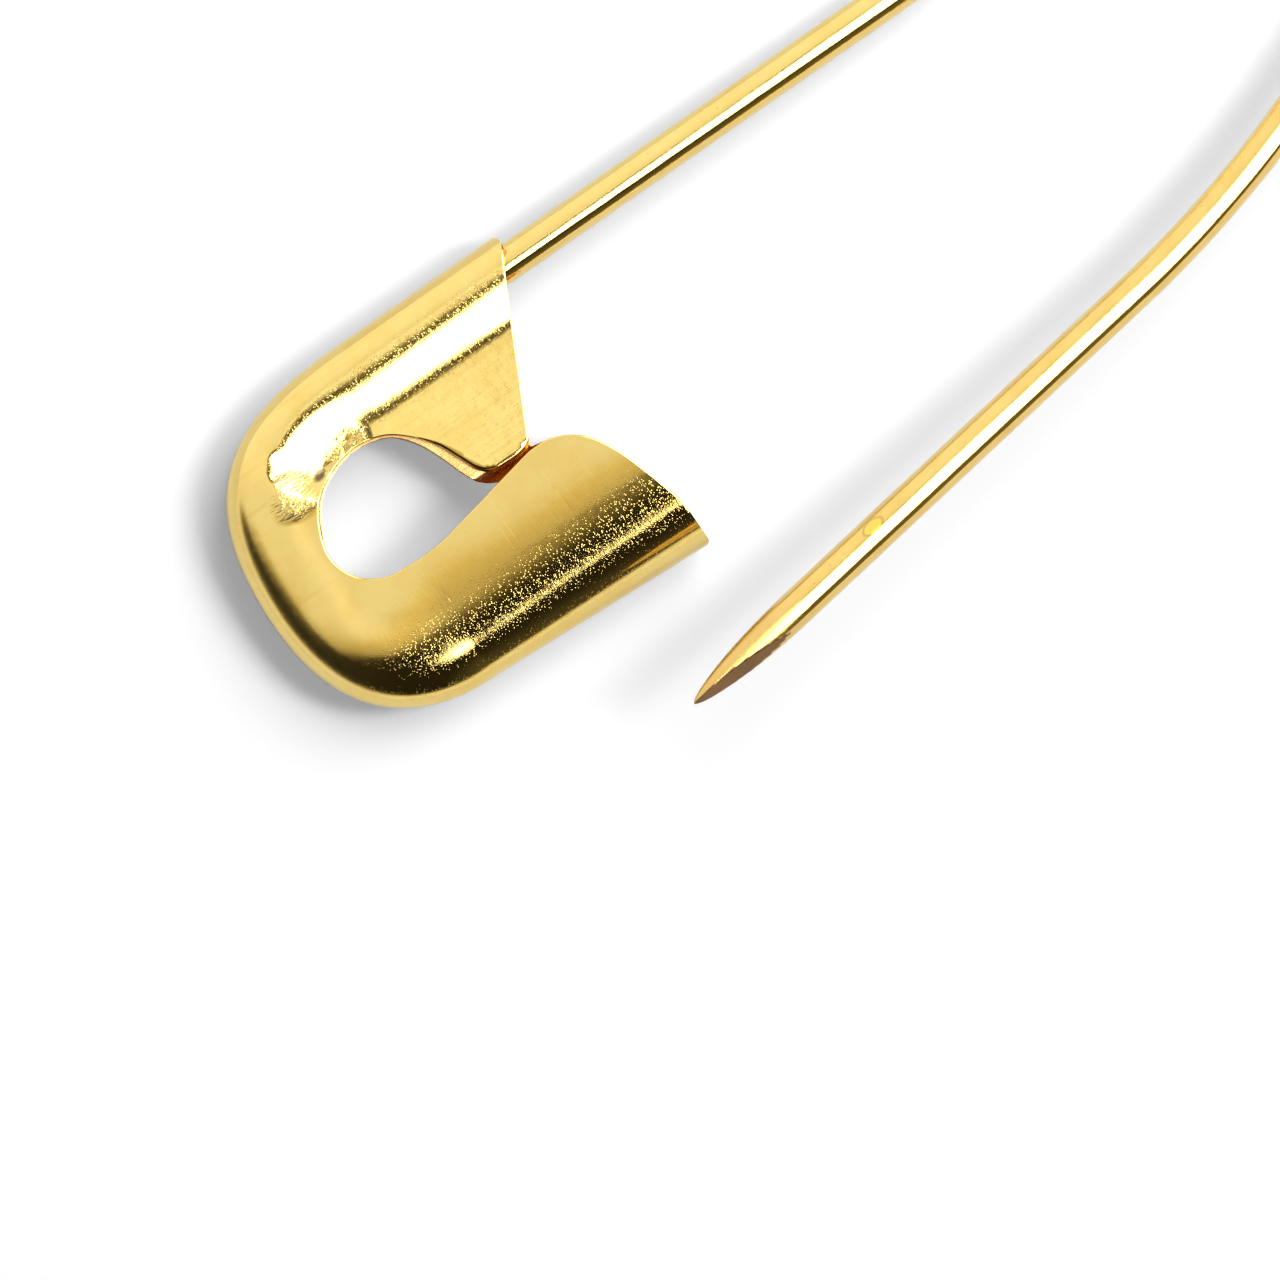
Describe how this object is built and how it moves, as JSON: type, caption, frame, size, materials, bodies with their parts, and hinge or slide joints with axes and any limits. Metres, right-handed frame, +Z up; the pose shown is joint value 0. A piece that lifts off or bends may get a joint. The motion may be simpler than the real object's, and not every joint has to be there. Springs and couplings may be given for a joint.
{
  "type": "safety pin",
  "caption": "Open safety pin: a bent wire with a coil spring and a sharp needle arm, and a folded sheet cap that guards the point.",
  "frame": {"origin": "under the middle of the open pin's box, on the surface that it lies on", "axes": "+X along the spine from the cap to the coil, the needle arm on the -Y side, +Z up off the surface"},
  "size_m": [0.0522, 0.0174, 0.0043],
  "materials": {
    "wire": "drawn wire, semi-polished, lightly worn",
    "cap": "pressed sheet, brushed, with dark rolled edges"
  },
  "bodies": {
    "spine": {"cap": "cap", "spine_wire": "wire"},
    "spring": {"coil_spring": "wire"},
    "needle": {"needle_arm": "wire"}
  },
  "joints": [
    {"name": "needle_swing", "type": "hinge", "parent": "spine", "child": "spring", "pos_m": [0.02247, 0.00485, 0.00137], "axis": [0, 0, 1], "range_deg": [-7.2, 10], "stiffness_Nm_per_rad": 0.008, "deforming": ["coil_spring"]},
    {"name": "needle_lift", "type": "hinge", "parent": "spring", "child": "needle", "pos_m": [0.02361, 0.00199, 0.00216], "axis": [-0.3697, 0.9291, 0], "range_deg": [-3.6, 5], "stiffness_Nm_per_rad": 0.008}
  ]
}
